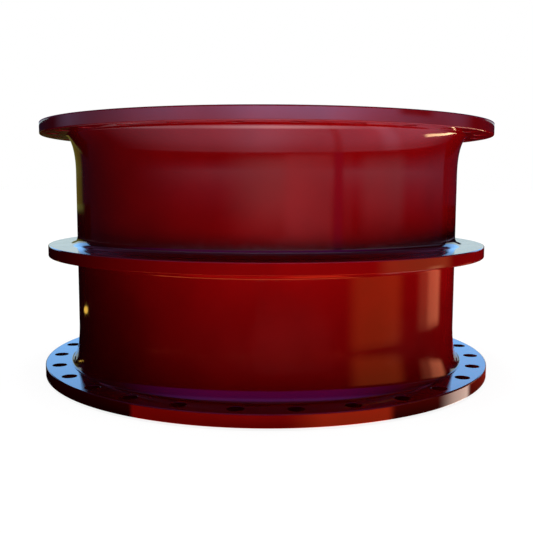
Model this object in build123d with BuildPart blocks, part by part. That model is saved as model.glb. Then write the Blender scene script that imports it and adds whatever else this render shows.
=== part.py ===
from build123d import *
import os

# Puddle flange pipe: a straight barrel with a bolted flange at each end and a plain collar
# round its middle, cast as one piece. Built into a wall, the collar anchors the pipe and
# stops water from creeping along it.
# Millimetres. Z runs up the pipe's axis, from the lower joint face at Z = 0.

# Barrel
barrel_od = 1048.0
barrel_wall = 18.0
overall_length = 680.0

# End flanges, the same at both ends, which stand out from the barrel by their reach
flange_reach = 91.0
rim_thickness = 32.0
rim_bevel = 2.5

# Bolt holes, from the rim in to their middle, in pairs that straddle the front
bolt_inset = 35.0
bolt_hole_dia = 37.0
bolt_count = 28
front = -90.0

# Raised joint face, which stops short of the bolt holes
raised_face_height = 5.0
face_to_holes = 6.5

# Hub: the barrel flares in a hollow curve to the back of the rim, and leaves room there for
# a nut and its washer. The curve's two end tangents meet on the barrel, at the bend height.
nut_room = 35.0
hub_height = 100.0
hub_bend_height = 31.0

# Puddle flange: the plain collar, placed by its middle, with a sloped bead at its root
collar_reach = 76.0
collar_thickness = 30.0
collar_middle = 340.0
collar_bevel = 2.5
collar_root = 10.0

barrel_r = barrel_od / 2
bore_r = barrel_r - barrel_wall
flange_r = barrel_r + flange_reach
bolt_circle_r = flange_r - bolt_inset
raised_face_r = bolt_circle_r - bolt_hole_dia / 2 - face_to_holes
hub_r = bolt_circle_r - nut_room
collar_r = barrel_r + collar_reach
collar_sides = (collar_middle - collar_thickness / 2, collar_middle + collar_thickness / 2)
flange_depth = raised_face_height + rim_thickness
same_point = 0.01


def draw_end(joint_face, inward):
    """Draw one end of the half section, from the bore over the rim and along the hub.

    Args:
        joint_face: height of the joint face.
        inward: 1 where the pipe lies above the joint face, -1 where it lies below.

    Returns:
        The point where the hub runs out into the barrel.
    """
    shoulder = joint_face + inward * raised_face_height
    rim_back = joint_face + inward * flange_depth
    hub_end = (barrel_r, rim_back + inward * hub_height)
    Polyline(
        (bore_r, joint_face),
        (raised_face_r, joint_face),
        (raised_face_r, shoulder),
        (flange_r, shoulder),
        (flange_r, rim_back),
        (hub_r, rim_back),
    )
    Bezier((hub_r, rim_back), (barrel_r, rim_back + inward * hub_bend_height), hub_end)
    return hub_end


def corners_at(section, radius, heights=None):
    """Find the corners of the half section at a radius.

    Args:
        section: the sketch of the half section.
        radius: distance from the axis.
        heights: heights to keep, or None to keep every corner at that radius.

    Returns:
        A list of the corners.
    """
    column = section.vertices().filter_by_position(Axis.X, radius - same_point, radius + same_point)
    if heights is None:
        return list(column)
    return [corner for corner in column if any(abs(corner.Y - z) < same_point for z in heights)]


with BuildPart() as pipe_casting:
    # Half section of the whole casting, which is turned round the axis
    with BuildSketch(Plane.XZ) as half_section:
        with BuildLine():
            lower_hub_end = draw_end(0, 1)
            upper_hub_end = draw_end(overall_length, -1)
            Polyline(
                lower_hub_end,
                (barrel_r, collar_sides[0]),
                (collar_r, collar_sides[0]),
                (collar_r, collar_sides[1]),
                (barrel_r, collar_sides[1]),
                upper_hub_end,
            )
            Line((bore_r, 0), (bore_r, overall_length))
        make_face()
        chamfer(corners_at(half_section, flange_r), length=rim_bevel)
        chamfer(corners_at(half_section, collar_r), length=collar_bevel)
        chamfer(corners_at(half_section, barrel_r, collar_sides), length=collar_root)
    revolve(axis=Axis.Z)

    # Bolt holes, drilled down from the back of the lower rim and from the upper shoulder
    first_hole = front + 180 / bolt_count
    for drill_from in (flange_depth, overall_length - raised_face_height):
        with Locations(Plane.XY.offset(drill_from)):
            with PolarLocations(bolt_circle_r, bolt_count, start_angle=first_hole):
                Hole(bolt_hole_dia / 2, depth=flange_depth)

pipe_casting.part.label = "pipe_casting"
os.makedirs("parts", exist_ok=True)
export_step(pipe_casting.part, "parts/pipe_casting.step")
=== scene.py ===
"""Puddle flange pipe: the finished casting, its red coating and the studio it stands in.

The casting is one turned shape, so its mesh is one half section taken round the axis, with
the bolt holes let into both end flanges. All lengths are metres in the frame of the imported
model: +Z runs up the pipe's axis and the lower joint face lies at Z = 0.
"""

from __future__ import annotations

import logging
import math
from dataclasses import dataclass, field
from enum import Enum
from typing import Any, Sequence, Union

import bmesh
import bpy
from mathutils import Matrix, Vector


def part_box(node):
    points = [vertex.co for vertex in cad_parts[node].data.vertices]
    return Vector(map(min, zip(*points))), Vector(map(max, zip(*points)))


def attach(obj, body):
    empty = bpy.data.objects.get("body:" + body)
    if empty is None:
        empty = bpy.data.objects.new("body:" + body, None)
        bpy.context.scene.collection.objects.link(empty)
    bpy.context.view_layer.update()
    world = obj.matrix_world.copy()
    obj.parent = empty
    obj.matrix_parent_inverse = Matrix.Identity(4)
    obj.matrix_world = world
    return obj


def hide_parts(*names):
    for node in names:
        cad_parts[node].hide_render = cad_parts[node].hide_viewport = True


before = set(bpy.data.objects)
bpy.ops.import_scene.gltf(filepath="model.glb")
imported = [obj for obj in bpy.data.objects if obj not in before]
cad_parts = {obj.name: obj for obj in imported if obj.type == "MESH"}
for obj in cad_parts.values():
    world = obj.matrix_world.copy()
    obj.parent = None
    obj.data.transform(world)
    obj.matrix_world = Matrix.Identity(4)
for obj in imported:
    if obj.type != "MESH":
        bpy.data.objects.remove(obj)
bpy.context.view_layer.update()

NODE = "pipe_casting"
BODY = "root"
SLOT = "red_coating"
MM = 0.001
DEGREES = 180.0 / math.pi

# The photograph's frame and the camera's focal length, in its pixels
FRAME_PIXELS = 533.0
FOCAL_PIXELS = 747.8

Colour = tuple[float, float, float]
log = logging.getLogger("pipe")


class Shine(Enum):
    """How a stage object shows to the rays that meet it."""

    SEEN = "seen"
    REFLECTED = "reflected only"


# Shader graphs


class Socket:
    """A number in a shader graph, which takes Python's operators."""

    def __init__(self, graph: Graph, link: bpy.types.NodeSocket) -> None:
        """Keep the graph that new nodes go to and the socket that holds the number."""
        self.graph = graph
        self.link = link

    def _maths(self, operation: str, *values: Any) -> Socket:
        """Add a Math node for one operation on some values."""
        return self.graph.maths(operation, *values)

    def __add__(self, other: Any) -> Socket:
        """Add another number."""
        return self._maths("ADD", self, other)

    def __radd__(self, other: Any) -> Socket:
        """Add this to a plain number."""
        return self._maths("ADD", other, self)

    def __sub__(self, other: Any) -> Socket:
        """Take another number away."""
        return self._maths("SUBTRACT", self, other)

    def __rsub__(self, other: Any) -> Socket:
        """Take this away from a plain number."""
        return self._maths("SUBTRACT", other, self)

    def __mul__(self, other: Any) -> Socket:
        """Multiply by another number."""
        return self._maths("MULTIPLY", self, other)

    def __rmul__(self, other: Any) -> Socket:
        """Multiply a plain number by this."""
        return self._maths("MULTIPLY", other, self)

    def __truediv__(self, other: Any) -> Socket:
        """Divide by another number."""
        return self._maths("DIVIDE", self, other)

    def __rtruediv__(self, other: Any) -> Socket:
        """Divide a plain number by this."""
        return self._maths("DIVIDE", other, self)

    def __neg__(self) -> Socket:
        """Turn the sign round."""
        return self._maths("MULTIPLY", self, -1.0)


Input = Union[Socket, bpy.types.NodeSocket, float, Sequence[float]]


class Graph:
    """The node tree of one material or of the world, with short ways to add to it."""

    def __init__(self, owner: bpy.types.Material | bpy.types.World) -> None:
        """Clear the owner's nodes and start afresh."""
        owner.use_nodes = True
        self.tree = owner.node_tree
        self.tree.nodes.clear()
        self.object_point: Input | None = None

    def add(self, kind: str, settings: dict[str, Any] | None = None, **sockets: Input) -> bpy.types.Node:
        """Add a node.

        Args:
            kind: the node's type, without the leading word ShaderNode.
            settings: the node's own settings, set before its sockets are filled.
            **sockets: a value or link for each input, by the input's name with _ for a space,
                or in{number} for an input's place.

        Returns:
            The new node.
        """
        node = self.tree.nodes.new("ShaderNode" + kind)
        for name, setting in (settings or {}).items():
            setattr(node, name, setting)
        for name, value in sockets.items():
            self._fill(self._input(node, name), value)
        return node

    @staticmethod
    def _input(node: bpy.types.Node, name: str) -> bpy.types.NodeSocket:
        """Find a node's input by its name or by its place."""
        if name.startswith("in") and name[2:].isdigit():
            return node.inputs[int(name[2:])]
        return node.inputs[name.replace("_", " ")]

    def _fill(self, target: bpy.types.NodeSocket, value: Input) -> None:
        """Give an input a plain value or a link."""
        if isinstance(value, Socket):
            value = value.link
        if isinstance(value, bpy.types.NodeSocket):
            self.tree.links.new(value, target)
        elif isinstance(value, (tuple, list)) and target.type == "RGBA":
            target.default_value = (*value[:3], 1.0)
        else:
            target.default_value = value

    def maths(self, operation: str, *values: Input) -> Socket:
        """Add a Math node.

        Args:
            operation: the Math node's operation.
            *values: its one, two or three values.

        Returns:
            The result.
        """
        inputs = {f"in{place}": value for place, value in enumerate(values)}
        return Socket(self, self.add("Math", {"operation": operation}, **inputs).outputs[0])

    def point(self) -> Input:
        """Give the place of the shaded point in the row frame, in metres."""
        if self.object_point is None:
            self.object_point = self.add("TexCoord").outputs["Object"]
        return self.object_point

    def stretched(self, scale: Sequence[float]) -> Input:
        """Give the shaded point with each axis scaled."""
        node = self.add("VectorMath", {"operation": "MULTIPLY"}, in0=self.point(), in1=tuple(scale))
        return node.outputs[0]

    def axes(self) -> tuple[Socket, Socket, Socket]:
        """Give the x, y and z of the shaded point."""
        parts = self.add("SeparateXYZ", in0=self.point()).outputs
        return Socket(self, parts[0]), Socket(self, parts[1]), Socket(self, parts[2])

    def noise(self, size: float, detail: float = 2.0, roughness: float = 0.5, seed: float = 0.0,
              at: Input | None = None) -> Socket:
        """Give a noise between 0 and 1.

        Args:
            size: length of one lump in metres.
            detail: number of finer layers.
            roughness: weight of the finer layers.
            seed: fourth coordinate, which picks the pattern.
            at: the point, or None for the shaded point.

        Returns:
            The noise.
        """
        node = self.add("TexNoise", {"noise_dimensions": "4D"}, Vector=at or self.point(), W=seed,
                        Scale=1.0 / size, Detail=detail, Roughness=roughness)
        return Socket(self, node.outputs[0])

    def ramp(self, value: Input, low: float, high: float, start: float = 0.0, end: float = 1.0) -> Socket:
        """Carry a number smoothly from start to end as it goes from low to high."""
        node = self.add("MapRange", {"interpolation_type": "SMOOTHSTEP"}, Value=value, From_Min=low,
                        From_Max=high, To_Min=start, To_Max=end)
        return Socket(self, node.outputs[0])

    def band(self, value: Input, low: float, high: float, soft: float) -> Socket:
        """Give 1 between low and high and 0 outside, with soft edges."""
        rise = self.ramp(value, low - soft, low + soft)
        return rise * self.ramp(value, high - soft, high + soft, 1.0, 0.0)

    def blend(self, factor: Input, first: Input, second: Input) -> bpy.types.NodeSocket:
        """Mix two colours.

        Args:
            factor: how much of the second colour shows.
            first: colour where the factor is 0.
            second: colour where the factor is 1.

        Returns:
            The mixed colour.
        """
        node = self.add("Mix", {"data_type": "RGBA"}, in0=factor, in6=first, in7=second)
        return node.outputs[2]

    def layers(self, colour: Input, *over: tuple[Input, Input]) -> Input:
        """Lay colours over one another.

        Args:
            colour: the lowest colour.
            *over: pairs of a mask and the colour that shows where the mask is 1.

        Returns:
            The colour that comes out on top.
        """
        for mask, tint in over:
            colour = self.blend(mask, colour, tint)
        return colour

    def mix_shaders(self, factor: Input, first: bpy.types.Node, second: bpy.types.Node) -> bpy.types.Node:
        """Mix two shaders by a factor."""
        return self.add("MixShader", in0=factor, in1=first.outputs[0], in2=second.outputs[0])

    def seen_directly(self) -> Socket:
        """Give 1 for the camera's rays and for what gloss and glass show, and 0 for the rest."""
        path = self.add("LightPath").outputs
        direct = Socket(self, path["Is Camera Ray"])
        mirrored = Socket(self, path["Is Glossy Ray"])
        through = Socket(self, path["Is Transmission Ray"])
        return self.maths("MINIMUM", direct + mirrored + through, 1.0)

    def end(self, shader: bpy.types.Node, output: str = "OutputMaterial") -> None:
        """Send the finished shader to the output."""
        self.add(output, Surface=shader.outputs[0])


def new_material(name: str) -> tuple[bpy.types.Material, Graph]:
    """Make an empty material and its graph."""
    material = bpy.data.materials.new(name)
    return material, Graph(material)


# Finishes of the casting


@dataclass(frozen=True)
class RedCoating:
    """The thick glossy coating, with the casting's waves showing faintly through it."""

    deep: Colour = (0.26, 0.0012, 0.0020)
    bright: Colour = (0.33, 0.0016, 0.0025)
    cloud_size: float = 0.16
    settling_size: float = 0.022
    gloss: float = 0.055
    dull: float = 0.10
    ior: float = 1.5
    peel_size: float = 0.0045
    peel_height: float = 0.000004
    wave_size: float = 0.12
    wave_height: float = 0.00010
    flow_size: float = 0.035
    flow_height: float = 0.000012
    flow_scale: tuple[float, float, float] = (1.0, 1.0, 0.35)
    turned_inside: float = 0.5545
    turned_fade: float = 0.002
    turned_depths: tuple[float, float] = (0.0004, 0.0001)
    turned_pitch: float = 0.0016
    turned_height: float = 0.00004

    def build(self, length: float) -> bpy.types.Material:
        """Build the coating.

        Args:
            length: the pipe's length, whose two ends carry the turned joint faces.

        Returns:
            The material.
        """
        material, graph = new_material(SLOT)
        cloud = graph.noise(self.cloud_size, detail=3.0, roughness=0.55, seed=1.3)
        colour = graph.blend(graph.ramp(cloud, 0.3, 0.7), self.deep, self.bright)
        settling = graph.noise(self.settling_size, detail=3.0, roughness=0.6, seed=4.1)
        roughness = graph.ramp(settling, 0.3, 0.75, self.gloss, self.dull)
        bump = graph.add("Bump", None, Strength=1.0, Distance=1.0, Height=self._height(graph, length))
        shader = graph.add("BsdfPrincipled", None, Base_Color=colour, Roughness=roughness, IOR=self.ior,
                           Normal=bump.outputs[0])
        graph.end(shader)
        return material

    def _height(self, graph: Graph, length: float) -> Socket:
        """Give the surface's height in metres over the plain form."""
        wave = graph.noise(self.wave_size, detail=1.0, roughness=0.4, seed=2.7) * self.wave_height
        flow = graph.noise(self.flow_size, seed=6.2, at=graph.stretched(self.flow_scale))
        peel = graph.noise(self.peel_size, seed=9.4) * self.peel_height
        return wave + flow * self.flow_height + peel + self._turned_lines(graph, length)

    def _turned_lines(self, graph: Graph, length: float) -> Socket:
        """Give the fine rings that the lathe leaves on the raised joint faces."""
        x, y, z = graph.axes()
        radius = graph.maths("SQRT", x * x + y * y)
        from_middle = graph.maths("ABSOLUTE", z - length / 2)
        deepest, shallowest = self.turned_depths
        on_face = graph.ramp(from_middle, length / 2 - deepest, length / 2 - shallowest)
        inside = graph.ramp(radius, self.turned_inside - self.turned_fade, self.turned_inside, 1.0, 0.0)
        rings = graph.maths("SINE", radius * (math.tau / self.turned_pitch))
        return rings * on_face * inside * self.turned_height


# The casting's form


@dataclass(frozen=True)
class RingPoint:
    """One point of the half section, which becomes a ring when it is turned."""

    radius: float
    height: float
    out: float
    up: float


@dataclass
class SectionPen:
    """Draws the half section anticlockwise, with the iron on its left."""

    points: list[RingPoint] = field(default_factory=list)

    @staticmethod
    def _unit(start: Vector, end: Vector) -> Vector:
        """Give the direction from one point to another."""
        return (end - start).normalized()

    def corner(self, before: Vector, at: Vector, after: Vector, rounding: float, steps: int) -> None:
        """Round one corner.

        Args:
            before: a point on the way in.
            at: the sharp corner.
            after: a point on the way out.
            rounding: radius of the round.
            steps: how many steps it takes.
        """
        way_in = self._unit(before, at)
        way_out = self._unit(at, after)
        turn = math.atan2(way_in.x * way_out.y - way_in.y * way_out.x, way_in.dot(way_out))
        side = 1.0 if turn > 0 else -1.0
        start = at - way_in * rounding * math.tan(abs(turn) / 2)
        outward = Vector((way_in.y, -way_in.x))
        centre = start - outward * rounding * side
        for step in range(steps + 1):
            angle = turn * step / steps
            normal = Matrix.Rotation(angle, 2) @ outward
            place = centre + normal * rounding * side
            self.points.append(RingPoint(place.x, place.y, normal.x, normal.y))

    def hollow(self, start: Vector, bend: Vector, end: Vector, steps: int) -> None:
        """Draw a hollow curve from start to end, whose end tangents meet at the bend."""
        for step in range(steps + 1):
            part = step / steps
            first = start.lerp(bend, part)
            second = bend.lerp(end, part)
            place = first.lerp(second, part)
            way = self._unit(first, second)
            self.points.append(RingPoint(place.x, place.y, way.y, -way.x))

    def latest(self) -> int:
        """Give the place of the latest point, which marks where a drilled face starts."""
        return len(self.points) - 1


@dataclass(frozen=True)
class Rounding:
    """Radii of the casting's rounded edges and roots."""

    bore: float = 3.0 * MM
    face: float = 1.2 * MM
    shoulder: float = 2.0 * MM
    rim: float = 3.2 * MM
    foot: float = 7.0 * MM
    root: float = 20.0 * MM
    collar: float = 3.0 * MM
    hole: float = 1.2 * MM


@dataclass
class EndFlange:
    """One end flange: raised joint face, rim and the hub that runs out into the barrel."""

    rim_radius: float
    barrel_radius: float
    raised_radius: float = 555.0 * MM
    raised_height: float = 5.0 * MM
    rim_thickness: float = 32.0 * MM
    hub_reach: float = 21.0 * MM
    hub_height: float = 100.0 * MM
    hub_bend: float = 31.0 * MM
    bolt_circle: float = 580.0 * MM
    hole_radius: float = 18.5 * MM
    holes: int = 28
    hub_steps: int = 14

    @property
    def depth(self) -> float:
        """Distance from the joint face to the back of the rim."""
        return self.raised_height + self.rim_thickness

    def outline(self, bore_radius: float) -> list[Vector]:
        """Give the corners from the bore to the foot of the hub, for a joint face at height 0."""
        hub_radius = self.barrel_radius + self.hub_reach
        return [
            Vector((bore_radius, 0.0)),
            Vector((self.raised_radius, 0.0)),
            Vector((self.raised_radius, self.raised_height)),
            Vector((self.rim_radius, self.raised_height)),
            Vector((self.rim_radius, self.depth)),
            Vector((hub_radius, self.depth)),
        ]

    def hub_curve(self, rounding: Rounding) -> tuple[Vector, Vector, Vector]:
        """Give the start, bend and end of the hub's hollow curve, past the round at its foot."""
        foot = Vector((self.barrel_radius + self.hub_reach, self.depth))
        bend = Vector((self.barrel_radius, self.depth + self.hub_bend))
        end = Vector((self.barrel_radius, self.depth + self.hub_height))
        way = (bend - foot).normalized()
        half_turn = (math.pi / 2 - math.atan2(abs(way.x), way.y)) / 2
        start = foot + way * rounding.foot * math.tan(half_turn)
        return start, bend, end


@dataclass
class Collar:
    """The plain puddle flange round the barrel."""

    radius: float = 600.0 * MM
    thickness: float = 30.0 * MM

    def heights(self, length: float) -> tuple[float, float]:
        """Give the heights of its lower and upper faces on a pipe of that length."""
        return (length - self.thickness) / 2, (length + self.thickness) / 2


@dataclass
class Casting:
    """The whole pipe casting: barrel, two end flanges and collar in one mesh."""

    rim_radius: float
    length: float
    barrel_radius: float = 524.0 * MM
    wall: float = 18.0 * MM
    front: float = -math.pi / 2
    steps_per_hole: int = 14
    steps_across_face: int = 10
    steps_round_collar: int = 6
    steps_into_hole: int = 4
    patch_share: float = 0.42
    rounding: Rounding = field(default_factory=Rounding)

    def __post_init__(self) -> None:
        """Work out the parts that follow from the main sizes."""
        self.flange = EndFlange(self.rim_radius, self.barrel_radius)
        self.collar = Collar()
        self.around = self.flange.holes * self.steps_per_hole
        self.vertices: list[Vector] = []
        self.normals: list[Vector] = []
        self.faces: list[tuple[int, ...]] = []

    def build(self, coating: RedCoating) -> bpy.types.Object:
        """Build the casting's mesh and dress it.

        Args:
            coating: the finish over all of it.

        Returns:
            The finished piece.
        """
        points, drilled = self._section()
        rings = [self._ring(point) for point in points]
        for place, ring in enumerate(rings):
            if place not in drilled:
                self._strip(ring, rings[(place + 1) % len(rings)])
        spokes = {place: self._spokes(rings[place], rings[place + 1]) for place in drilled}
        lower_front, lower_back, upper_back, upper_front = drilled
        for outer_side, inner_side in ((lower_front, lower_back), (upper_front, upper_back)):
            self._drill(rings, spokes, outer_side, inner_side)
        return self._piece(coating)

    def _section(self) -> tuple[list[RingPoint], tuple[int, int, int, int]]:
        """Draw the half section.

        Returns:
            Its points in order, and the places after which the four drilled faces lie.
        """
        pen = SectionPen()
        lower = self.flange.outline(self.barrel_radius - self.wall)
        upper = [Vector((corner.x, self.length - corner.y)) for corner in lower]
        drilled = self._draw_end(pen, lower, upper[0], top=False)
        self._draw_collar(pen)
        drilled += self._draw_end(pen, upper, lower[0], top=True)
        return pen.points, tuple(drilled)

    def _draw_end(self, pen: SectionPen, corners: list[Vector], far_bore: Vector, top: bool) -> list[int]:
        """Draw one end of the half section.

        Args:
            pen: the pen to draw with.
            corners: the end's corners from the bore to the hub's foot.
            far_bore: the bore's corner at the other end.
            top: whether this is the upper end, which is drawn from the hub to the bore.

        Returns:
            The places after which its two drilled faces lie.
        """
        r = self.rounding
        start, bend, end = self.flange.hub_curve(r)
        if top:
            start, bend, end = (Vector((p.x, self.length - p.y)) for p in (start, bend, end))
        radii = (r.bore, r.face, r.shoulder, r.rim, r.rim, r.foot)
        steps = (4, 3, 3, 5, 5, 6)
        chain = [far_bore, *corners, start]
        jobs = [(chain[i], chain[i + 1], chain[i + 2], radii[i], steps[i]) for i in range(len(corners))]
        # One drilled face follows the shoulder and one the rim's back edge. The upper end is drawn
        # the other way, so there they follow the foot and the rim's front edge.
        drilled: list[int] = []
        drilled_after = (2, 4)
        if top:
            pen.hollow(end, bend, start, self.flange.hub_steps)
            jobs = [(after, at, before, radius, count) for before, at, after, radius, count in jobs[::-1]]
            drilled_after = (0, 2)
        for place, (before, at, after, radius, count) in enumerate(jobs):
            pen.corner(before, at, after, radius, count)
            if place in drilled_after:
                drilled.append(pen.latest())
        if not top:
            pen.hollow(start, bend, end, self.flange.hub_steps)
        return drilled

    def _draw_collar(self, pen: SectionPen) -> None:
        """Draw the collar, from the barrel below it to the barrel above it."""
        low, high = self.collar.heights(self.length)
        barrel, edge, along = self.barrel_radius, self.collar.radius, 0.1
        below, above = Vector((barrel, low - along)), Vector((barrel, high + along))
        chain = [below, Vector((barrel, low)), Vector((edge, low)), Vector((edge, high)),
                 Vector((barrel, high)), above]
        radii = (self.rounding.root, self.rounding.collar, self.rounding.collar, self.rounding.root)
        for place, radius in enumerate(radii):
            before, at, after = chain[place:place + 3]
            pen.corner(before, at, after, radius, self.steps_round_collar)

    def _vertex(self, place: Vector, normal: Vector) -> int:
        """Add one vertex and give its number."""
        self.vertices.append(place)
        self.normals.append(normal)
        return len(self.vertices) - 1

    def _ring(self, point: RingPoint) -> list[int]:
        """Turn one point of the half section round the axis."""
        ring = []
        for step in range(self.around):
            angle = self.front + math.tau * step / self.around
            cos, sin = math.cos(angle), math.sin(angle)
            place = Vector((point.radius * cos, point.radius * sin, point.height))
            ring.append(self._vertex(place, Vector((point.out * cos, point.out * sin, point.up))))
        return ring

    def _strip(self, first: Sequence[int], second: Sequence[int]) -> None:
        """Join two closed rings with quads."""
        count = len(first)
        for step in range(count):
            after = (step + 1) % count
            self.faces.append((first[step], first[after], second[after], second[step]))

    def _spokes(self, first: list[int], second: list[int]) -> list[list[int]]:
        """Add the straight lines across a drilled face, one midway between each two holes."""
        spokes = []
        for hole in range(self.flange.holes):
            start = first[hole * self.steps_per_hole]
            end = second[hole * self.steps_per_hole]
            line = [start]
            for step in range(1, self.steps_across_face):
                place = self.vertices[start].lerp(self.vertices[end], step / self.steps_across_face)
                line.append(self._vertex(place, self.normals[start].copy()))
            spokes.append([*line, end])
        return spokes

    def _patch_edge(self, first: list[int], second: list[int], spokes: list[list[int]],
                    hole: int) -> list[int]:
        """Go round the edge of the patch that holds one hole."""
        start = hole * self.steps_per_hole
        steps = [(start + step) % self.around for step in range(self.steps_per_hole + 1)]
        along_first = [first[step] for step in steps]
        along_second = [second[step] for step in steps]
        right = spokes[(hole + 1) % self.flange.holes]
        left = spokes[hole]
        return along_first[:-1] + right[:-1] + along_second[:0:-1] + left[:0:-1]

    def _drill(self, rings: list[list[int]], spokes: dict[int, list[list[int]]], front_place: int,
               back_place: int) -> None:
        """Let the holes into one flange.

        Args:
            rings: all rings of the section.
            spokes: the lines across each drilled face.
            front_place: place of the drilled face beside the joint face.
            back_place: place of the drilled face behind the rim.
        """
        for hole in range(self.flange.holes):
            angle = self.front + math.tau * (hole + 0.5) / self.flange.holes
            loops = []
            for place in (front_place, back_place):
                edge = self._patch_edge(rings[place], rings[place + 1], spokes[place], hole)
                loops.append(self._hole_mouth(edge, angle))
            self._strip(loops[0], loops[1])

    def _hole_mouth(self, edge: list[int], angle: float) -> list[int]:
        """Fill one patch round its hole and round the hole's edge.

        Args:
            edge: the vertices round the patch.
            angle: where the hole lies round the axis.

        Returns:
            The ring where the round meets the hole's straight wall, from a fixed start and
            always the same way round.
        """
        face_normal = self.normals[edge[0]]
        height = self.vertices[edge[0]].z
        centre = Vector((math.cos(angle), math.sin(angle), 0.0)) * self.flange.bolt_circle
        centre.z = height
        mouth = self.flange.hole_radius + self.rounding.hole
        rays = self._rays(edge, centre, angle)
        on_face = [self._vertex(centre + ray * mouth, face_normal.copy()) for ray in rays]
        between = []
        for corner, near in zip(edge, on_face):
            place = self.vertices[near].lerp(self.vertices[corner], self.patch_share)
            between.append(self._vertex(place, face_normal.copy()))
        self._strip(edge, between)
        self._strip(between, on_face)
        last = on_face
        for step in range(1, self.steps_into_hole + 1):
            turn = math.pi / 2 * step / self.steps_into_hole
            radius = mouth - self.rounding.hole * math.sin(turn)
            sink = face_normal * self.rounding.hole * (1 - math.cos(turn))
            ring = []
            for ray in rays:
                normal = face_normal * math.cos(turn) - ray * math.sin(turn)
                ring.append(self._vertex(centre + ray * radius - sink, normal))
            self._strip(last, ring)
            last = ring
        return self._from_same_start(last, centre, angle)

    def _rays(self, edge: list[int], centre: Vector, angle: float) -> list[Vector]:
        """Give evenly spaced directions from the hole's middle, one for each vertex of the edge."""
        first = self.vertices[edge[0]] - centre
        second = self.vertices[edge[1]] - centre
        way = 1.0 if first.cross(second).z > 0 else -1.0
        outward = Vector((math.cos(angle), math.sin(angle), 0.0))
        towards = 0.0 if first.dot(outward) > 0 else math.pi
        half_arc = math.pi * self.steps_per_hole / len(edge)
        start = angle + towards - way * half_arc
        step = way * math.tau / len(edge)
        headings = [start + step * place for place in range(len(edge))]
        return [Vector((math.cos(heading), math.sin(heading), 0.0)) for heading in headings]

    def _from_same_start(self, ring: list[int], centre: Vector, angle: float) -> list[int]:
        """Turn a ring's list so that it starts at the same side and goes the same way."""
        hair = 1e-6

        def bearing(number: int) -> float:
            """Give a vertex's direction from the hole's middle, from 0 to one turn."""
            offset = self.vertices[number] - centre
            return (math.atan2(offset.y, offset.x) - angle + hair) % math.tau

        return sorted(ring, key=bearing)

    def _piece(self, coating: RedCoating) -> bpy.types.Object:
        """Turn the gathered vertices and faces into the finished piece."""
        mesh = bpy.data.meshes.new("coated_casting")
        mesh.from_pydata(self.vertices, [], self.faces)
        work = bmesh.new()
        work.from_mesh(mesh)
        bmesh.ops.recalc_face_normals(work, faces=work.faces)
        open_edges = sum(1 for edge in work.edges if not edge.is_manifold)
        work.to_mesh(mesh)
        work.free()
        mesh.polygons.foreach_set("use_smooth", [True] * len(mesh.polygons))
        mesh.normals_split_custom_set_from_vertices([normal.normalized() for normal in self.normals])
        mesh.materials.append(coating.build(self.length))
        piece = bpy.data.objects.new("coated_casting", mesh)
        bpy.context.scene.collection.objects.link(piece)
        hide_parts(NODE)
        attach(piece, BODY)
        log.info("casting: %d faces, %d open edges", len(mesh.polygons), open_edges)
        return piece


# Studio


def put_on_stage(piece: bpy.types.Object, shine: Shine) -> None:
    """Link an object that isn't part of the pipe and say which rays meet it."""
    bpy.context.scene.collection.objects.link(piece)
    if shine is Shine.REFLECTED:
        piece.visible_camera = False
        piece.visible_diffuse = False
        piece.visible_transmission = False
        piece.visible_volume_scatter = False
        piece.visible_shadow = False


def plane_mesh(name: str, width: float, height: float) -> bpy.types.Mesh:
    """Make a flat rectangle round the origin, facing +Z, with its UV map."""
    mesh = bpy.data.meshes.new(name)
    work = bmesh.new()
    bmesh.ops.create_grid(work, x_segments=1, y_segments=1, size=0.5, calc_uvs=True)
    uv = work.loops.layers.uv.verify()
    for face in work.faces:
        for loop in face.loops:
            loop[uv].uv = (loop.vert.co.x + 0.5, loop.vert.co.y + 0.5)
    bmesh.ops.scale(work, vec=(width, height, 1.0), verts=work.verts)
    work.to_mesh(mesh)
    work.free()
    return mesh


@dataclass(frozen=True)
class PaleFloor:
    """The pale floor, which shows white and keeps the pipe's soft shadow."""

    half_size: float = 60.0
    colour: Colour = (0.80, 0.80, 0.80)
    roughness: float = 0.6
    shadow_share: float = 0.12
    wash: float = 5.7
    wash_angle: float = 100.0

    def build(self) -> None:
        """Lay the floor under the pipe and light it by itself."""
        material, graph = new_material("pale_floor")
        cloth = graph.add("BsdfDiffuse", None, Color=self.colour, Roughness=self.roughness)
        white = graph.add("Emission", None, Color=(1.0, 1.0, 1.0), Strength=1.0)
        shown = graph.seen_directly() * (1.0 - self.shadow_share)
        graph.end(graph.mix_shaders(shown, cloth, white))
        mesh = plane_mesh("floor", 2 * self.half_size, 2 * self.half_size)
        mesh.materials.append(material)
        floor = bpy.data.objects.new("floor", mesh)
        floor.visible_diffuse = False
        put_on_stage(floor, Shine.SEEN)
        self._light(floor)

    def _light(self, floor: bpy.types.Object) -> None:
        """Hang the lamp that lights the floor alone, so that the pipe's shadow shows on it."""
        lamp = bpy.data.lights.new("floor_wash", "SUN")
        lamp.energy = self.wash
        lamp.angle = math.radians(self.wash_angle)
        holder = bpy.data.objects.new("floor_wash", lamp)
        bpy.context.scene.collection.objects.link(holder)
        lit = bpy.data.collections.new("floor_only")
        lit.objects.link(floor)
        holder.light_linking.receiver_collection = lit


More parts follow.
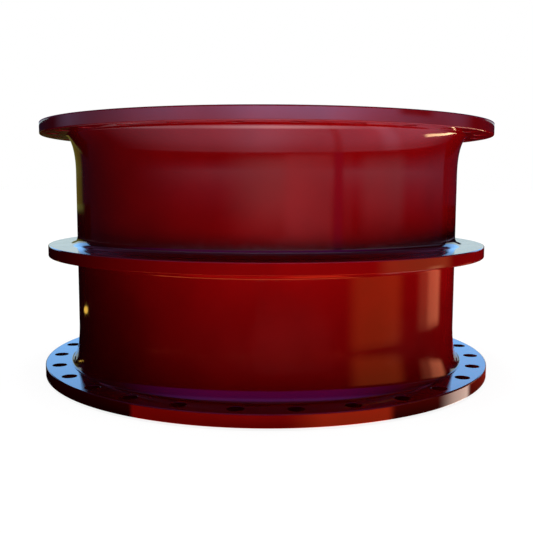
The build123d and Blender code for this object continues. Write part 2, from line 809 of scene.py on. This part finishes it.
@dataclass(frozen=True)
class SoftLamp:
    """One soft rectangular lamp."""

    name: str
    place: tuple[float, float, float]
    target: tuple[float, float, float]
    size: tuple[float, float]
    brightness: float
    colour: Colour = (1.0, 1.0, 1.0)

    def hang(self) -> None:
        """Hang the lamp, out of sight of the camera and of the pipe's gloss."""
        lamp = bpy.data.lights.new(self.name, "AREA")
        lamp.shape = "RECTANGLE"
        lamp.size, lamp.size_y = self.size
        lamp.energy = self.brightness * math.pi * self.size[0] * self.size[1]
        lamp.color = self.colour
        holder = bpy.data.objects.new(self.name, lamp)
        holder.location = Vector(self.place)
        way = Vector(self.target) - Vector(self.place)
        holder.rotation_euler = way.to_track_quat("-Z", "Y").to_euler()
        holder.visible_glossy = False
        holder.visible_camera = False
        bpy.context.scene.collection.objects.link(holder)


@dataclass(frozen=True)
class Studio:
    """Light that falls on the pipe, and the white behind it."""

    ambient: Colour = (0.02, 0.015, 0.02)
    lift: float = 0.012

    def build(self) -> None:
        """Set the world and hang the lamps.

        The main lamps lie on the floor and face up, as bright ground round a casting does, so
        the upward faces stay dark. One lamp above the axis lights the top and the bore.
        """
        self._world()
        lamps = (
            self._ground_lamp("ground_front", (0.30, -1.50), (0.85, 0.90), 5.2),
            self._ground_lamp("ground_far", (-0.50, -2.75), (1.00, 1.10), 4.6),
            self._ground_lamp("ground_near", (0.12, -0.93), (0.70, 0.24), 1.5),
            self._ground_lamp("ground_right", (1.00, -0.35), (0.60, 0.60), 5.1),
            self._ground_lamp("ground_left", (-0.35, -1.22), (0.70, 0.55), 1.0),
            self._ground_lamp("apron", (0.11, -0.695), (0.78, 0.11), 0.4),
            self._ground_lamp("ground_back", (0.30, 2.30), (2.80, 2.60), 2.6),
            SoftLamp("overhead", (0.0, 0.0, 4.2), (0.0, 0.0, 0.0), (0.7, 0.7), 18.0, (0.95, 0.97, 1.0)),
        )
        for lamp in lamps:
            lamp.hang()

    def _ground_lamp(self, name: str, middle: tuple[float, float], size: tuple[float, float],
                     brightness: float) -> SoftLamp:
        """Give a lamp that lies on the floor and faces up."""
        place = (*middle, self.lift)
        return SoftLamp(name, place, (*middle, 1.0), size, brightness, (1.0, 0.96, 0.93))

    def _world(self) -> None:
        """Show white behind the pipe and light it weakly from all round."""
        world = bpy.data.worlds.new("studio")
        bpy.context.scene.world = world
        graph = Graph(world)
        white = graph.add("Background", None, Color=(1.0, 1.0, 1.0), Strength=1.0)
        weak = graph.add("Background", None, Color=self.ambient, Strength=1.0)
        graph.end(graph.mix_shaders(graph.seen_directly(), weak, white), "OutputWorld")


def glow(graph: Graph, colour: Input, material: bpy.types.Material, one_sided: bool = False) -> None:
    """Finish a material that only shines, and isn't taken for a lamp.

    Args:
        graph: the material's graph.
        colour: what it shines with.
        material: the material.
        one_sided: whether its back is clear.
    """
    shader = graph.add("Emission", None, Color=colour, Strength=1.0)
    if one_sided:
        back = graph.add("NewGeometry").outputs["Backfacing"]
        shader = graph.mix_shaders(back, shader, graph.add("BsdfTransparent"))
    graph.end(shader)
    material.cycles.emission_sampling = "NONE"


def bearing_and_distance(graph: Graph) -> tuple[Socket, Socket, Socket]:
    """Give the shaded point's bearing from the front in degrees, its distance and its height."""
    x, y, z = graph.axes()
    bearing = graph.maths("ARCTAN2", x, -y) * DEGREES
    return bearing, graph.maths("SQRT", x * x + y * y), z


@dataclass(frozen=True)
class MirrorWall:
    """One upright wall of the pipe, as the mirror in which the camera sees the tent."""

    radius: float
    camera_distance: float = 2.137
    focal_pixels: float = FOCAL_PIXELS
    middle_column: float = FRAME_PIXELS / 2

    def edge(self, graph: Graph, column: float, soft: float) -> Socket:
        """Go from 0 to 1, left to right, over the line that one column of the picture shows."""
        view = math.atan((column - self.middle_column) / self.focal_pixels)
        slant = math.asin(self.camera_distance * math.sin(view) / self.radius)
        spot = slant - view
        heading = slant + spot
        way = Vector((math.sin(heading), -math.cos(heading)))
        place = Vector((math.sin(spot), -math.cos(spot))) * self.radius
        reach = (place - Vector((0.0, -self.camera_distance))).length
        apex = place - way / (2.0 / (self.radius * math.cos(slant)) + 1.0 / reach)
        x, y, _ = graph.axes()
        bearing = graph.maths("ARCTAN2", x - apex.x, apex.y - y) * DEGREES
        middle = math.degrees(heading)
        return graph.ramp(bearing, middle - soft, middle + soft)

    def shown(self, graph: Graph, left: float, right: float, soft: float) -> Socket:
        """Mask what the wall shows between two columns of the picture.

        Args:
            graph: the graph to add to.
            left: left column, in pixels.
            right: right column, in pixels.
            soft: softness of the mask's edges, in degrees.

        Returns:
            1 between the columns and 0 outside them.
        """
        return self.edge(graph, left, soft) * (1.0 - self.edge(graph, right, soft))


@dataclass(frozen=True)
class Strip:
    """A strip bent round the axis in front of the pipe, from one edge to another.

    The radii and the heights are those of its first and second edge. It reaches as far as the
    half angle, in degrees, to each side of the front.
    """

    name: str
    radii: tuple[float, float]
    heights: tuple[float, float]
    half_angle: float
    steps: int = 72

    def mesh(self) -> bpy.types.Mesh:
        """Make the strip out of flat panels."""
        corners = []
        for step in range(self.steps + 1):
            angle = math.radians(self.half_angle) * (2 * step / self.steps - 1)
            for radius, height in zip(self.radii, self.heights):
                corners.append(Vector((math.sin(angle) * radius, -math.cos(angle) * radius, height)))
        panels = [(2 * i, 2 * i + 2, 2 * i + 3, 2 * i + 1) for i in range(self.steps)]
        mesh = bpy.data.meshes.new(self.name)
        mesh.from_pydata(corners, [], panels)
        return mesh


@dataclass(frozen=True)
class TentTints:
    """What the tent's pieces shine with, where 1 is white: painted reflections and highlights for the
    pipe's gloss.
    """

    dark: Colour = (0.010, 0.008, 0.020)
    black: Colour = (0.002, 0.001, 0.003)
    # Painted olive reflection at the upper barrel's left edge.
    olive_reflection_foot: Colour = (0.14, 0.11, 0.018)
    olive_reflection_top: Colour = (0.17, 0.20, 0.05)
    # Painted sky reflection, bright and low behind the pipe, dim overhead.
    sky_reflection_low: Colour = (0.8, 1.0, 1.05)
    sky_reflection_high: Colour = (0.6, 1.35, 2.6)
    zenith_reflection: Colour = (0.15, 0.16, 0.25)
    # Painted sheen, pink panels and a dark strip on the barrel, and purple on the lower hub.
    sheen_blue: Colour = (0.30, 0.34, 0.56)
    sheen_grey: Colour = (0.48, 0.50, 0.55)
    sheen_rose: Colour = (0.62, 0.46, 0.54)
    sheen_lilac: Colour = (0.70, 0.68, 0.86)
    panel_pink: Colour = (1.5, 0.42, 0.50)
    dark_strip_navy: Colour = (0.01, 0.04, 0.16)
    purple: Colour = (0.40, 0.02, 0.70)
    purple_high: Colour = (0.60, 0.15, 1.20)
    purple_line: Colour = (0.5, 0.08, 1.3)
    ground: Colour = (0.002, 0.001, 0.002)
    # Painted reflections on the lower rim, with a highlight at its right end.
    apron_end: Colour = (0.0, 0.0, 0.0)
    apron_left: Colour = (2.1, 0.02, 0.01)
    apron_middle: Colour = (4.8, 0.30, 0.08)
    apron_right: Colour = (0.3, 0.02, 0.01)
    apron_highlight: Colour = (4.2, 2.9, 2.4)
    # Painted reflections: a warm ring, a warm band, an olive patch and a warm highlight spot.
    ember_ring: Colour = (6.0, 1.2, 0.3)
    ground_band: Colour = (0.9, 0.18, 0.04)
    ground_olive: Colour = (0.17, 0.17, 0.04)
    warm_highlight_spot: Colour = (2.9, 1.7, 0.25)
    # Painted sheen, pale highlight line and glint on the upper hub.
    card_near: Colour = (1.3, 1.1, 1.6)
    card_far: Colour = (0.80, 0.62, 0.85)
    card_line: Colour = (5.8, 4.0, 4.4)
    card_glint: Colour = (9.5, 6.5, 3.6)
    # Painted lilac reflection on the upper rim.
    ribbon_low: Colour = (1.9, 1.7, 2.9)
    ribbon_high: Colour = (1.9, 2.1, 4.0)
    # Painted dark reflection over the upper rim, with a pale highlight.
    brim: Colour = (0.12, 0.06, 0.17)
    brim_highlight: Colour = (0.8, 0.9, 1.0)
    # Painted warm band and streak reflections on the lower barrel.
    kerb_band: Colour = (1.5, 0.24, 0.05)
    kerb_streak: Colour = (2.2, 0.62, 0.30)
    # Painted warm reflection and orange highlight on the collar's rim.
    hoop_warm_reflection: Colour = (1.3, 0.34, 0.11)
    hoop_orange_highlight: Colour = (2.8, 1.2, 0.55)


@dataclass(frozen=True)
class DarkTent:
    """Dark drapes and tinted cards round the pipe, which only its gloss shows. They glow though
    they are no lamps: they are painted reflections and highlights, set where the camera sees
    them mirrored in the pipe.

    A wide sphere holds the far sky, a curved screen stands in front of the pipe and a sheet lies
    on the floor. A low card slopes away from the collar, where only the upper hub sees it, and a
    ribbon hangs level with the upper rim, with a dark brim above it. A kerb stands on the floor
    for the lower barrel, and a hoop runs close round the collar's rim.
    """

    radius: float = 18.0
    floor_lift: float = 0.001
    screen: Strip = Strip("tent_screen", (3.0, 3.0), (0.0, 3.4), 115.0)
    card: Strip = Strip("tent_card", (2.95, 0.622), (0.149, 0.3585), 118.0)
    ribbon: Strip = Strip("tent_ribbon", (0.90, 0.90), (0.662, 0.712), 168.0, 112)
    brim: Strip = Strip("tent_brim", (1.2, 1.2), (0.745, 2.20), 168.0, 112)
    kerb: Strip = Strip("tent_kerb", (1.2, 1.2), (0.0, 0.290), 104.0)
    hoop: Strip = Strip("tent_hoop", (0.70, 0.70), (0.309, 0.345), 104.0)
    # Place of the painted warm highlight spot, columns of the painted warm band and top of the painted
    # streak.
    spot: tuple[float, float] = (-1.28, 0.61)
    band_columns: tuple[float, float] = (354.0, 402.0)
    streak_top: float = 0.236
    tints: TentTints = TentTints()
    barrel: MirrorWall = MirrorWall(0.524)
    collar: MirrorWall = MirrorWall(0.600)
    rim: MirrorWall = MirrorWall(0.615)

    def build(self) -> None:
        """Put up the tent with its screen, floor, sloping card, ribbon, brim, kerb and hoop."""
        self._sky()
        self._screen()
        self._ground()
        self._card()
        self._ribbon()
        self._brim()
        self._kerb()
        self._hoop()

    @staticmethod
    def _put_up(mesh: bpy.types.Mesh, material: bpy.types.Material, lift: float = 0.0) -> None:
        """Dress one piece and put it up where only the pipe's gloss shows it.

        Args:
            mesh: the piece's mesh, whose name it takes.
            material: what it shines with.
            lift: its height over the floor.
        """
        mesh.materials.append(material)
        piece = bpy.data.objects.new(mesh.name, mesh)
        piece.location.z = lift
        put_on_stage(piece, Shine.REFLECTED)

    def _sky(self) -> None:
        """Put up the sphere of painted reflections: dark in front, bright low sky behind, olive behind on
        the left.
        """
        tints = self.tints
        material, graph = new_material("tent_sky")
        bearing, _, z = bearing_and_distance(graph)
        rise = z / self.radius * DEGREES
        behind = graph.ramp(graph.maths("ABSOLUTE", bearing), 129.0, 131.0)
        olive = graph.blend(graph.ramp(rise, 1.5, 4.5), tints.olive_reflection_foot, tints.olive_reflection_top)
        beside = graph.band(bearing, -168.0, -137.0, 3.0) * graph.ramp(rise, 5.0, 7.0, 1.0, 0.0)
        side_reflection = graph.blend(beside, tints.dark, olive)
        sky = graph.blend(graph.ramp(rise, 7.5, 10.0), tints.sky_reflection_low, tints.sky_reflection_high)
        low_sky = graph.ramp(rise, 3.8, 4.8) * graph.ramp(rise, 16.0, 19.0, 1.0, 0.0)
        colour = graph.layers(side_reflection, (behind * low_sky, sky), (graph.ramp(rise, 30.0, 45.0), tints.zenith_reflection))
        glow(graph, colour, material)
        mesh = bpy.data.meshes.new("tent_sky")
        work = bmesh.new()
        bmesh.ops.create_uvsphere(work, u_segments=64, v_segments=32, radius=self.radius)
        work.to_mesh(mesh)
        work.free()
        self._put_up(mesh, material)

    def _screen(self) -> None:
        """Stand the curved screen in front: painted sheen, pink panels and a dark strip for the barrel,
        purple for the lower hub.
        """
        tints = self.tints
        material, graph = new_material(self.screen.name)
        bearing, _, z = bearing_and_distance(graph)
        wide = graph.band(bearing, -44.0, 106.0, 38.0) * graph.ramp(z, 0.28, 0.80)
        peak = graph.band(bearing, -12.0, 24.0, 14.0) * graph.ramp(z, 0.12, 0.55)
        right = self.barrel.shown(graph, 362.0, 402.0, 5.0) * graph.ramp(z, 0.15, 0.60)
        upper = graph.ramp(z, 0.48, 0.64) * graph.band(bearing, -36.0, 78.0, 34.0)
        wide_panel = self.barrel.shown(graph, 286.0, 333.0, 4.0) * 0.56
        thin_panel = self.barrel.shown(graph, 343.0, 352.0, 2.0) * 0.14
        panels = (wide_panel + thin_panel) * graph.band(z, 0.22, 0.78, 0.10)
        # Painted dark strip reflection on the barrel.
        dark_strip = self.barrel.shown(graph, 333.5, 342.5, 1.5)
        below = graph.layers(
            tints.dark,
            (wide, tints.sheen_blue),
            (peak, tints.sheen_grey),
            (right * 0.75, tints.sheen_rose),
            (upper * 0.6, tints.sheen_lilac),
            (panels, tints.panel_pink),
            (dark_strip * 0.9, tints.dark_strip_navy),
        )
        purple = graph.band(bearing, -60.0, 60.0, 30.0)
        line = graph.ramp(z, 0.90, 0.92, 1.0, 0.0) * graph.band(bearing, -12.0, 45.0, 12.0)
        above = graph.layers(
            tints.dark,
            (purple, tints.purple),
            (purple * graph.ramp(z, 1.6, 2.2), tints.purple_high),
            (line, tints.purple_line),
        )
        glow(graph, graph.blend(graph.ramp(z, 0.85, 0.87), below, above), material)
        self._put_up(self.screen.mesh(), material)

    def _ground(self) -> None:
        """Lay the tent's floor, with tinted rings round the pipe: painted reflections and highlights for
        the lower rim and barrel.
        """
        tints = self.tints
        material, graph = new_material("tent_ground")
        bearing, distance, _ = bearing_and_distance(graph)
        apron = graph.band(distance, 0.60, 0.78, 0.01)
        # Painted highlight at the lower rim's right end.
        highlight_end = self.rim.edge(graph, 452.0, 8.0) * (1.0 - self.rim.edge(graph, 474.0, 3.0))
        near = graph.layers(
            tints.apron_end,
            (self.rim.edge(graph, 128.0, 1.5), tints.apron_left),
            (self.rim.edge(graph, 308.0, 12.0), tints.apron_middle),
            (self.rim.edge(graph, 396.0, 3.0), tints.apron_right),
            (highlight_end, tints.apron_highlight),
        )
        # Painted warm reflection ring.
        warm_ring = graph.band(distance, 0.92, 1.03, 0.012) * graph.band(bearing, -50.0, 40.0, 6.0)
        far = graph.ramp(distance, 1.08, 1.14) * graph.ramp(distance, 1.2, 1.3, 1.0, 0.0)
        olive = graph.band(bearing, -168.0, -134.0, 4.0) * graph.ramp(distance, 11.0, 15.0)
        x, y, _ = graph.axes()
        aside, away = x - self.spot[0], y - self.spot[1]
        from_spot = graph.maths("SQRT", aside * aside + away * away)
        colour = graph.layers(
            tints.ground,
            (apron, near),
            (warm_ring, tints.ember_ring),
            (self.barrel.shown(graph, *self.band_columns, 6.0) * far, tints.ground_band),
            (olive, tints.ground_olive),
            (graph.ramp(from_spot, 0.07, 0.12, 1.0, 0.0), tints.warm_highlight_spot),
        )
        glow(graph, colour, material)
        mesh = plane_mesh("tent_ground", 2 * self.radius, 2 * self.radius)
        self._put_up(mesh, material, self.floor_lift)

    def _card(self) -> None:
        """Set the sloping card, whose upper side alone shines: a painted sheen, highlight line and glint
        for the upper hub.
        """
        tints = self.tints
        material, graph = new_material(self.card.name)
        bearing, distance, _ = bearing_and_distance(graph)
        wide = graph.band(bearing, -52.0, 88.0, 34.0) * 0.58
        middle = graph.band(bearing, -12.0, 10.0, 12.0) * 0.42
        right = self.barrel.shown(graph, 383.0, 398.0, 4.0) * 0.35
        gap = 1.0 - self.barrel.shown(graph, 334.0, 342.0, 2.0) * 0.5
        sheen = (wide + middle + right) * gap
        tint = graph.blend(graph.ramp(distance, 0.9, 2.2), tints.card_near, tints.card_far)
        # Painted pale highlight line and glint.
        line = graph.band(distance, 0.705, 0.785, 0.012)
        spread = graph.band(bearing, -72.0, 38.0, 30.0) * 0.28
        spread = spread + graph.band(bearing, -14.0, 20.0, 20.0) * 0.76
        reach = distance - self.barrel.edge(graph, 440.0, 14.0) * 0.15
        glint = self.barrel.shown(graph, 425.0, 453.0, 3.0) * graph.band(reach, 1.06, 1.25, 0.03)
        colour = graph.layers(tints.dark, (sheen, tint), (line * spread, tints.card_line),
                              (glint, tints.card_glint))
        glow(graph, colour, material, one_sided=True)
        self._put_up(self.card.mesh(), material)

    def _ribbon(self) -> None:
        """Hang the lilac ribbon, a painted reflection that the upper rim shows, dark towards its ends."""
        tints = self.tints
        material, graph = new_material(self.ribbon.name)
        _, _, z = bearing_and_distance(graph)
        tint = graph.blend(graph.ramp(z, *self.ribbon.heights), tints.ribbon_low, tints.ribbon_high)
        middle = self.rim.shown(graph, 235.0, 350.0, 14.0) * 0.4
        wide = self.rim.shown(graph, 134.0, 398.0, 26.0) * 0.42
        patch = self.rim.shown(graph, 398.0, 430.0, 4.0) * graph.ramp(z, 0.684, 0.699)
        share = (middle + wide + 0.14) * (1.0 - patch * 0.9)
        ends = self.rim.shown(graph, 64.0, 462.0, 10.0)
        glow(graph, graph.blend(share * ends, tints.dark, tint), material)
        self._put_up(self.ribbon.mesh(), material)

    def _brim(self) -> None:
        """Hang the dark brim, a painted dark reflection over the upper joint face, with a pale highlight
        behind on the right.
        """
        material, graph = new_material(self.brim.name)
        bearing, _, z = bearing_and_distance(graph)
        # Painted pale highlight.
        pale = graph.ramp(bearing, 125.0, 135.0) * graph.ramp(z, 0.95, 1.05, 1.0, 0.0)
        glow(graph, graph.blend(pale, self.tints.brim, self.tints.brim_highlight), material)
        self._put_up(self.brim.mesh(), material)

    def _kerb(self) -> None:
        """Stand the low dark kerb that the lower barrel shows, with a painted warm band and streak."""
        tints = self.tints
        material, graph = new_material(self.kerb.name)
        _, _, z = bearing_and_distance(graph)
        band = self.barrel.shown(graph, *self.band_columns, 6.0)
        band = band * graph.band(z, -0.10, self.streak_top, 0.02)
        wide = self.barrel.shown(graph, 421.0, 441.0, 4.0) * 0.35
        streak = wide + self.barrel.shown(graph, 430.0, 441.0, 3.0) * 0.65
        streak = streak * graph.band(z, 0.01, self.streak_top, 0.03)
        colour = graph.layers(tints.black, (band, tints.kerb_band), (streak, tints.kerb_streak))
        glow(graph, colour, material)
        self._put_up(self.kerb.mesh(), material)

    def _hoop(self) -> None:
        """Hang the narrow hoop that the collar's rim shows, with a painted warm reflection and orange
        highlight.
        """
        tints = self.tints
        material, graph = new_material(self.hoop.name)
        _, _, z = bearing_and_distance(graph)
        warm_reflection = self.collar.shown(graph, 384.0, 450.0, 6.0)
        orange_highlight = self.collar.shown(graph, 431.0, 443.0, 4.0) * graph.ramp(z, 0.315, 0.321, 1.0, 0.0)
        colour = graph.layers(tints.black, (warm_reflection, tints.hoop_warm_reflection), (orange_highlight, tints.hoop_orange_highlight))
        glow(graph, colour, material)
        self._put_up(self.hoop.mesh(), material)


@dataclass(frozen=True)
class PhotoCamera:
    """The camera at the photograph's place, whose frame is 533 pixels square."""

    sensor: float = 36.0
    farthest: float = 200.0
    place: tuple[float, float, float] = (0.0007, -2.1373, 0.5145)
    dip: float = 6.239
    roll: float = 0.18

    def build(self) -> None:
        """Set up the camera and make it the scene's own."""
        data = bpy.data.cameras.new("photo_camera")
        data.sensor_width = self.sensor
        data.lens = FOCAL_PIXELS * self.sensor / FRAME_PIXELS
        data.clip_end = self.farthest
        camera = bpy.data.objects.new("photo_camera", data)
        level = Matrix.Rotation(math.radians(90.0 - self.dip), 4, "X")
        rolled = Matrix.Rotation(math.radians(self.roll), 4, "Z")
        camera.matrix_world = Matrix.Translation(self.place) @ level @ rolled
        bpy.context.scene.collection.objects.link(camera)
        bpy.context.scene.camera = camera


def main() -> None:
    """Build the casting, its studio and its camera."""
    logging.basicConfig(level=logging.INFO, format="%(name)s: %(message)s")
    bpy.context.scene.view_settings.view_transform = "Standard"
    low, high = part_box(NODE)
    casting = Casting(rim_radius=(high.x - low.x) / 2, length=high.z - low.z)
    casting.build(RedCoating())
    PaleFloor().build()
    Studio().build()
    DarkTent().build()
    PhotoCamera().build()
    log.info("studio and camera are set")


if __name__ == "__main__":
    main()
